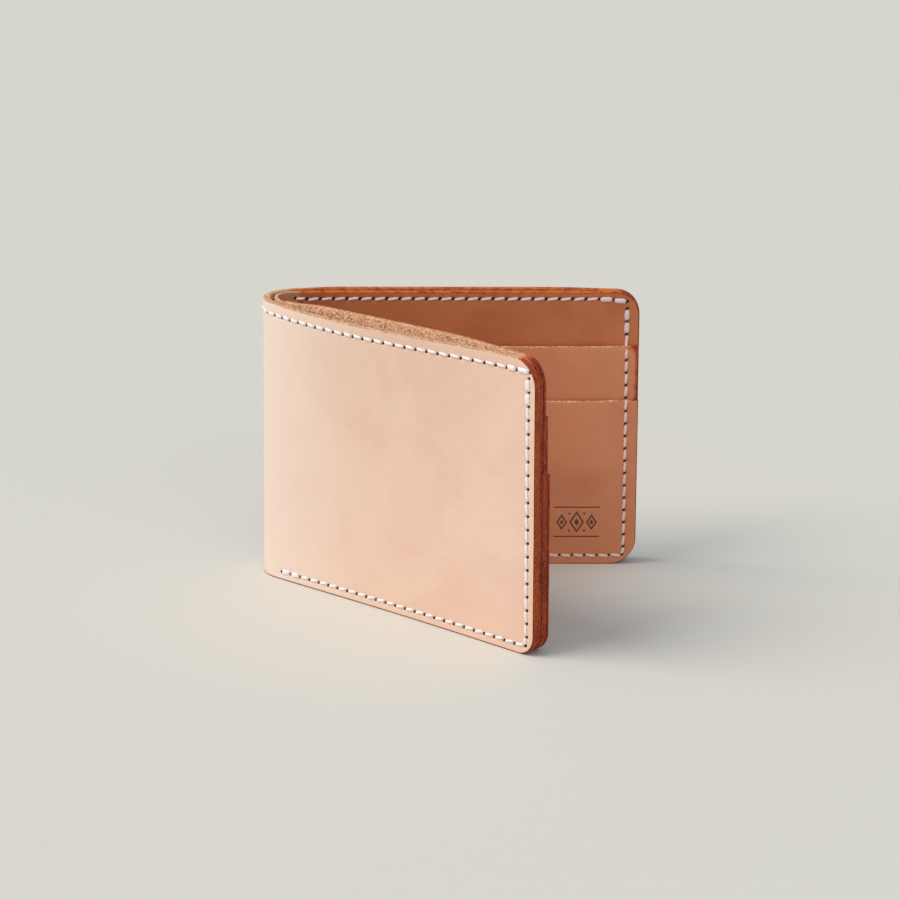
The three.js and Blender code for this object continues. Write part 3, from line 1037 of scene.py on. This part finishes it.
    # relief: hide grain on one side, fuzz on the other, fibres on the edge
    height = tree.math("ADD", tree.centred(cells, 0.5, middle=0.3), tree.centred(fine, 0.5))
    height = tree.math("ADD", height, tree.centred(mid, 0.25))
    fuzz_height = tree.math("ADD", tree.centred(fibres, 2.6), tree.centred(fuzz, 4.2))
    edge_height = tree.math("ADD", tree.centred(strands, 1.6),
                            tree.centred(speck, tree.lerp(tone, 2.6, 0.5)))
    height = tree.lerp(flesh, height, fuzz_height)
    height = tree.lerp(on_rim, height, edge_height)
    tree.bump(height, strength=0.55, distance=0.00009)
    return tree.material


def thread_material(name, pale, fibre_and_furrow_shade):
    """Waxed cord with darker fibres, and painted shade in the furrows between its plies and at its
    ends, where it dives into a hole.
    """
    tree = Shader(name)
    flat, ply = tree.attribute("flat", "Vector"), tree.attribute("ply")
    fibres = tree.noise(tree.stretch(flat, (1.2, 9.0, 1.0)), scale=1.6, detail=4.0, roughness=0.7)
    # painted shade in the furrows and at the ends, then darker fibres
    colour = tree.stain(fibre_and_furrow_shade, pale, ply, (0.05, 0.75))
    colour = tree.stain(colour, fibre_and_furrow_shade, fibres, (0.5, 0.75), to=(0.0, 0.22))
    tree.feed("Base Color", colour)
    tree.feed("Roughness", tree.range(fibres, (0.3, 0.7), to=(0.42, 0.66)))
    tree.feed("Specular IOR Level", 0.45)
    tree.feed("Sheen Weight", 0.25)
    tree.bump(fibres, strength=0.5, distance=0.00006)
    return tree.material


def floor_material():
    """Matt warm-white paper with a faint tooth."""
    tree = Shader("paper_sweep")
    place = tree.new("TexCoord").outputs["Object"]
    tooth = tree.noise(place, scale=260.0, detail=4.0, roughness=0.6)
    cloud = tree.noise(place, scale=3.0, detail=2.0, roughness=0.5)
    paper = srgb(215, 212, 204)
    colour = tree.stain(shade(paper, 0.995), shade(paper, 1.005), cloud, (0.3, 0.7))
    colour = tree.stain(colour, shade(paper, 0.9), tooth, (0.3, 0.7), to=(0.0, 0.05))
    tree.feed("Base Color", colour)
    tree.feed("Roughness", 0.9)
    tree.feed("Specular IOR Level", 0.12)
    tree.bump(tooth, strength=0.12, distance=0.0002)
    return tree.material


POCKET_FLESH = (srgb(210, 158, 118), srgb(170, 112, 76))
POCKET_RAW = (srgb(232, 176, 134), srgb(184, 116, 76))
# the cover's outside carries a painted highlight that grows paler towards the fold
cover_hide = leather("cover_hide", grain=(srgb(238, 203, 180), srgb(234, 195, 172)),
                     flesh_side=(srgb(226, 176, 138), srgb(190, 130, 92)),
                     raw_edge=(srgb(232, 186, 150), srgb(196, 138, 100)),
                     coat=0.10, painted_fold_highlight=True)
# the liner's grain colour is darkened as painted shade; that side shows mostly inside the fold
liner_hide_with_fold_shade = leather("liner_hide_with_fold_shade", grain=(srgb(196, 130, 90), srgb(184, 116, 78)),
                     flesh_side=(srgb(240, 190, 150), srgb(214, 152, 112)),
                     raw_edge=(srgb(236, 190, 152), srgb(198, 140, 100)), rough=0.55, coat=0.05)
pocket_hide = leather("pocket_hide", grain=(srgb(216, 138, 97), srgb(208, 129, 89)),
                      flesh_side=POCKET_FLESH, raw_edge=POCKET_RAW)
# the card panel's grain is darker and more orange than the pockets': partly its own colour, partly
# painted shade over the upper inside
panel_hide_partly_shaded = leather("panel_hide_partly_shaded", grain=(srgb(199, 115, 70), srgb(187, 103, 60)),
                     flesh_side=POCKET_FLESH, raw_edge=POCKET_RAW)
outer_cord = thread_material("waxed_thread", pale=srgb(248, 243, 245), fibre_and_furrow_shade=srgb(176, 156, 148))
# the inside thread is a darker copy of the outside one: painted shade inside the wallet
inner_cord_shaded = thread_material("waxed_thread_inside_shaded", pale=srgb(234, 214, 208),
                             fibre_and_furrow_shade=srgb(176, 150, 138))

# ---------------------------------------------------------------- baking pieces in place, and finishing them

# A blend's start and end sit deeper than the layer's inner face. blend() works them out
# but does not use them: it only bakes the object's transform into its mesh.
COVER_DEEP, LINER_DEEP = 3.8, 6.1

# two bodies, and the start and end of the blend as (half, angle from the end of the fold)
BLENDS = {
    "back": ("back_half", "spine_back", ("back", 0.0), ("back", CUT)),
    "front": ("spine_front", "front_half", ("front", CUT), ("front", 0.0)),
    "fold": ("spine_back", "spine_front", ("back", CUT), ("front", CUT)),
}


def blend(obj, part, depth=COVER_DEEP):
    first, second, *ends = BLENDS[part]
    start, end = (Vector(place_half(half, -angle * MID_RADIUS, depth, 0.0).tolist())
                  for half, angle in ends)
    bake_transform(obj)


def finish(obj, material, slot, *nodes):
    obj.data.materials.append(material)
    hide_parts(*nodes)
    return obj


# ---------------------------------------------------------------- leather pieces

COVER_SHEET = dict(layer=1, thickness=COVER, cut_start=True,
                   outer_round=(0.26, 0.46), inner_round=(0.25, 0.17))
LINER_SHEET = dict(layer=2, thickness=LINER, cut_start=True, rim_widths=(0.25, 0.25),
                   outer_round=(0.18, 0.15), inner_round=(0.18, 0.15))
# The cover's bottom edge is burnished dark; its dark rim also stands in as painted shade for the thin
# contact shadow under the wallet.
COVER_TONE = partial(edge_tone, side=(91.5, 95.5), bottom=0.92, top_ramp=(-9, 4))
INNER_TONE = partial(edge_tone, side=(90.5, 95.5), bottom=0.8)
LIP_TONE = partial(edge_tone, side=(95.5, 98.0), bottom=0.8, top=0.16)


def build_half(half):
    back = half == "back"
    bottom_corner, top_corner = FREE_CORNERS[half]
    whole = dict(part=half, corners=(bottom_corner, top_corner))
    into_fold = dict(whole, start=CUT_ALONG, swell=0.08, developed=True)
    # the pockets carry a painted highlight along their lips
    pocket = dict(part=half, start=POCKET_START, corners=(bottom_corner, 0), tone=LIP_TONE,
                  rim_widths=(0.2, 0.2), outer_round=(0.12, 0.15), wave=0.03, lip=1.0)

    cover = Sheet(
        f"{half}_cover_leather", **COVER_SHEET, **into_fold, surface=partial(cover_face, half),
        end=FREE_EDGE["cover"], tone=partial(COVER_TONE, top=0.60 if back else 0.0),
        holes=TOP_HOLES[half] + EDGE_HOLES[half], rim_widths=(0.22, 4.5 if back else 0.22),
        wave=0.028).build()
    finish(cover, cover_hide, "cover_leather", f"cover_{half}", f"cover_spine_{half}")
    blend(cover, half)

    liner = Sheet(
        f"{half}_liner_leather", **LINER_SHEET, **into_fold, surface=partial(liner_face, half),
        end=FREE_EDGE["liner"], holes=PANEL_HOLES[half], wave=0.02,
        tone=partial(INNER_TONE, top=0.6 if back else 0.0, top_ramp=(-2, 4))).build()
    finish(liner, liner_hide_with_fold_shade, "liner_leather", f"liner_{half}", f"liner_spine_{half}")
    blend(liner, half, LINER_DEEP)

    panel = Sheet(
        f"{half}_card_panel_leather", **whole, layer=3, surface=partial(panel_face, half),
        thickness=PANEL, start=PANEL_START, end=FREE_EDGE["panel"],
        tone=partial(INNER_TONE, top=0.75 if back else 0.0),
        holes=PANEL_HOLES[half] + EDGE_HOLES[half][:4], outer_round=(0.12, 0.15),
        inner_round=(0.30, 0.16), rim_widths=(0.55, 0.55), wave=0.02, swell=0.10).build()
    finish(panel, panel_hide_partly_shaded, "pocket_leather", f"card_panel_{half}")
    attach(panel, f"{half}_half")

    upper = Sheet(
        f"{half}_upper_pocket_leather", **pocket, layer=4, surface=partial(upper_face, half),
        thickness=UPPER, end=FREE_EDGE["upper"], top=UPPER_LIP,
        holes=EDGE_HOLES[half][4:8] + POCKET_HOLES, inner_round=(0.46, 0.15), swell=0.08,
        hole_shade_gain=0.72).build()
    finish(upper, pocket_hide, "pocket_leather", f"upper_pocket_{half}")
    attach(upper, f"{half}_half")

    ornament_points = None
    if back:
        columns, rows = np.meshgrid(np.arange(74.2, 89.2, 0.21), np.arange(7.9, 18.6, 0.21))
        ornament_points = np.stack([columns.ravel(), rows.ravel()], 1)
    lower = Sheet(
        f"{half}_lower_pocket_leather", **pocket, layer=5, surface=partial(lower_face, half),
        thickness=LOWER, end=FREE_EDGE["lower"], top=LOWER_LIP,
        holes=EDGE_HOLES[half][8:] + POCKET_HOLES[:12], inner_round=(0.46, 0.30),
        hole_shade_gain=0.66, relief=partial(lower_relief, half), extra_points=ornament_points).build()
    finish(lower, pocket_hide, "pocket_leather", f"lower_pocket_{half}")
    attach(lower, f"{half}_half")


def build_fold():
    """The middle piece of the cover and of the liner, between the two cuts."""
    middle = dict(part="fold", start=-MIDDLE_REACH, end=MIDDLE_REACH, cut_end=True, wave=0.0)
    cover = Sheet("fold_cover_leather", **COVER_SHEET, **middle, surface=squeeze,
                  tone=COVER_TONE, holes=FOLD_HOLES[1:3], rim_widths=(0.22, 0.22)).build()
    finish(cover, cover_hide, "cover_leather")
    blend(cover, "fold")
    liner = Sheet("fold_liner_leather", **LINER_SHEET, **middle, surface=fold_liner_face,
                  tone=partial(INNER_TONE, bottom=0.6)).build()
    finish(liner, liner_hide_with_fold_shade, "liner_leather")
    blend(liner, "fold", LINER_DEEP)


# ---------------------------------------------------------------- seams

def sew_half(half, seed):
    """The half's eight rows of stitches; each takes the next seed."""
    mirror = 1 if half == "front" else -1
    top, panel, edge = TOP_HOLES[half][1:], PANEL_HOLES[half], EDGE_HOLES[half]
    # object, replaced node, cord, surface, side, holes, thick ends, shape of the stitches
    rows = [
        ("top_stitches_outside", "top_seam_{}_outside", outer_cord, cover_face, -1,
         top, (0, 2), dict(slant=-0.17 * mirror)),
        ("top_stitches_inside", "top_seam_{}_inside", inner_cord_shaded, cover_back, 1,
         top, (0, 2), dict(slant=0.15, rise=0.17, low=0.06)),
        ("panel_stitches_face", "panel_seam_{}_face", inner_cord_shaded, panel_front, 1,
         panel, (0, 2), dict(slant=0.26)),
        ("panel_stitches_reverse", "panel_seam_{}_reverse", inner_cord_shaded, liner_face, -1,
         panel, (0, 2), dict(slant=0.15, rise=0.14, low=0.10)),
        ("edge_stitches_outside", "edge_seam_{}_outside", outer_cord, cover_face, -1,
         edge, (2, 2), dict(slant=0.21 * mirror)),
        ("edge_stitches_inside", "edge_seam_{}_inside", inner_cord_shaded, innermost, 1,
         edge, (2, 2), dict(slant=-0.18)),
        ("stop_stitches", "stop_seam_{}", inner_cord_shaded, upper_front, 1,
         STOP_HOLES, (1, 1), dict(slant=0.15, rise=0.18, low=0.05)),
        ("pocket_stitches", "pocket_seam_{}", inner_cord_shaded, innermost, 1,
         POCKET_HOLES, (1, 1), dict(slant=0.15)),
    ]
    for i, (name, node, cord, surface, side, holes, thick_ends, shape) in enumerate(rows):
        thread = build_thread(f"{half}_{name}", half, partial(surface, half), side, holes,
                              thick_ends, seed=seed + i, **shape)
        nodes = [node.format(half)]
        if holes is top:
            nodes.append(node.format(f"spine_{half}"))
        finish(thread, cord, "thread", *nodes)
        if holes is top:
            blend(thread, half)
        else:
            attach(thread, f"{half}_half")


def sew_fold():
    for where, surface, side, slant, rise in (("outside", squeeze, -1, -0.17, 0.25),
                                              ("inside", fold_cover_back, 1, 0.15, 0.17)):
        thread = build_thread(f"fold_top_stitches_{where}", "fold", surface, side, FOLD_HOLES,
                              (0, 0), slant=slant, seed=77, rise=rise, low=0.06)
        finish(thread, outer_cord, "thread")
        blend(thread, "fold")


build_half("back")
build_half("front")
build_fold()
sew_half("back", seed=11)
sew_half("front", seed=23)
sew_fold()

# ---------------------------------------------------------------- floor, light, camera


def add_sun(name, azimuth, elevation, spread, energy, colour):
    """A broad, distant light; azimuth 0 is from the camera's side, positive to its right."""
    light = bpy.data.lights.new(name, "SUN")
    light.angle = math.radians(spread)
    light.energy = energy
    light.color = colour
    obj = bpy.data.objects.new(name, light)
    turn, tilt = math.radians(azimuth), math.radians(elevation)
    towards = Vector((math.sin(turn) * math.cos(tilt), -math.cos(turn) * math.cos(tilt),
                      math.sin(tilt)))
    obj.rotation_euler = towards.to_track_quat("Z", "Y").to_euler()
    scene.collection.objects.link(obj)


def add_camera(location, azimuth, elevation, lens):
    """A camera looking towards +y, turned by the azimuth and down by the elevation."""
    camera = bpy.data.cameras.new("camera")
    camera.lens = lens
    camera.sensor_width = 36
    camera.sensor_fit = "HORIZONTAL"
    camera.clip_start = 0.01
    obj = bpy.data.objects.new("camera", camera)
    turn, tilt = math.radians(azimuth), math.radians(elevation)
    forward = Vector((math.sin(turn) * math.cos(tilt), math.cos(turn) * math.cos(tilt),
                      -math.sin(tilt)))
    obj.location = location
    obj.rotation_euler = forward.to_track_quat("-Z", "Y").to_euler()
    scene.collection.objects.link(obj)
    scene.camera = obj


bpy.ops.mesh.primitive_plane_add(size=12, location=(0, 2.0, 0))
floor = bpy.context.object
floor.name = "floor"
floor.data.materials.append(floor_material())

scene.view_settings.view_transform = "Standard"
world = bpy.data.worlds.new("soft_room")
scene.world = world
world.use_nodes = True
background = world.node_tree.nodes["Background"]
background.inputs["Color"].default_value = (0.82, 0.98, 1.105, 1.0)
background.inputs["Strength"].default_value = 0.42

add_sun("key", azimuth=-80, elevation=47, spread=44, energy=2.28, colour=(1.0, 0.915, 0.84))
add_sun("top", azimuth=0, elevation=70, spread=70, energy=0.28, colour=(1.0, 0.99, 0.97))
add_sun("fill", azimuth=22, elevation=15, spread=50, energy=0.54, colour=(1.0, 0.985, 0.96))
add_camera(location=(0.00394, -0.71844, 0.25832), azimuth=-0.27, elevation=16.5, lens=106.94)
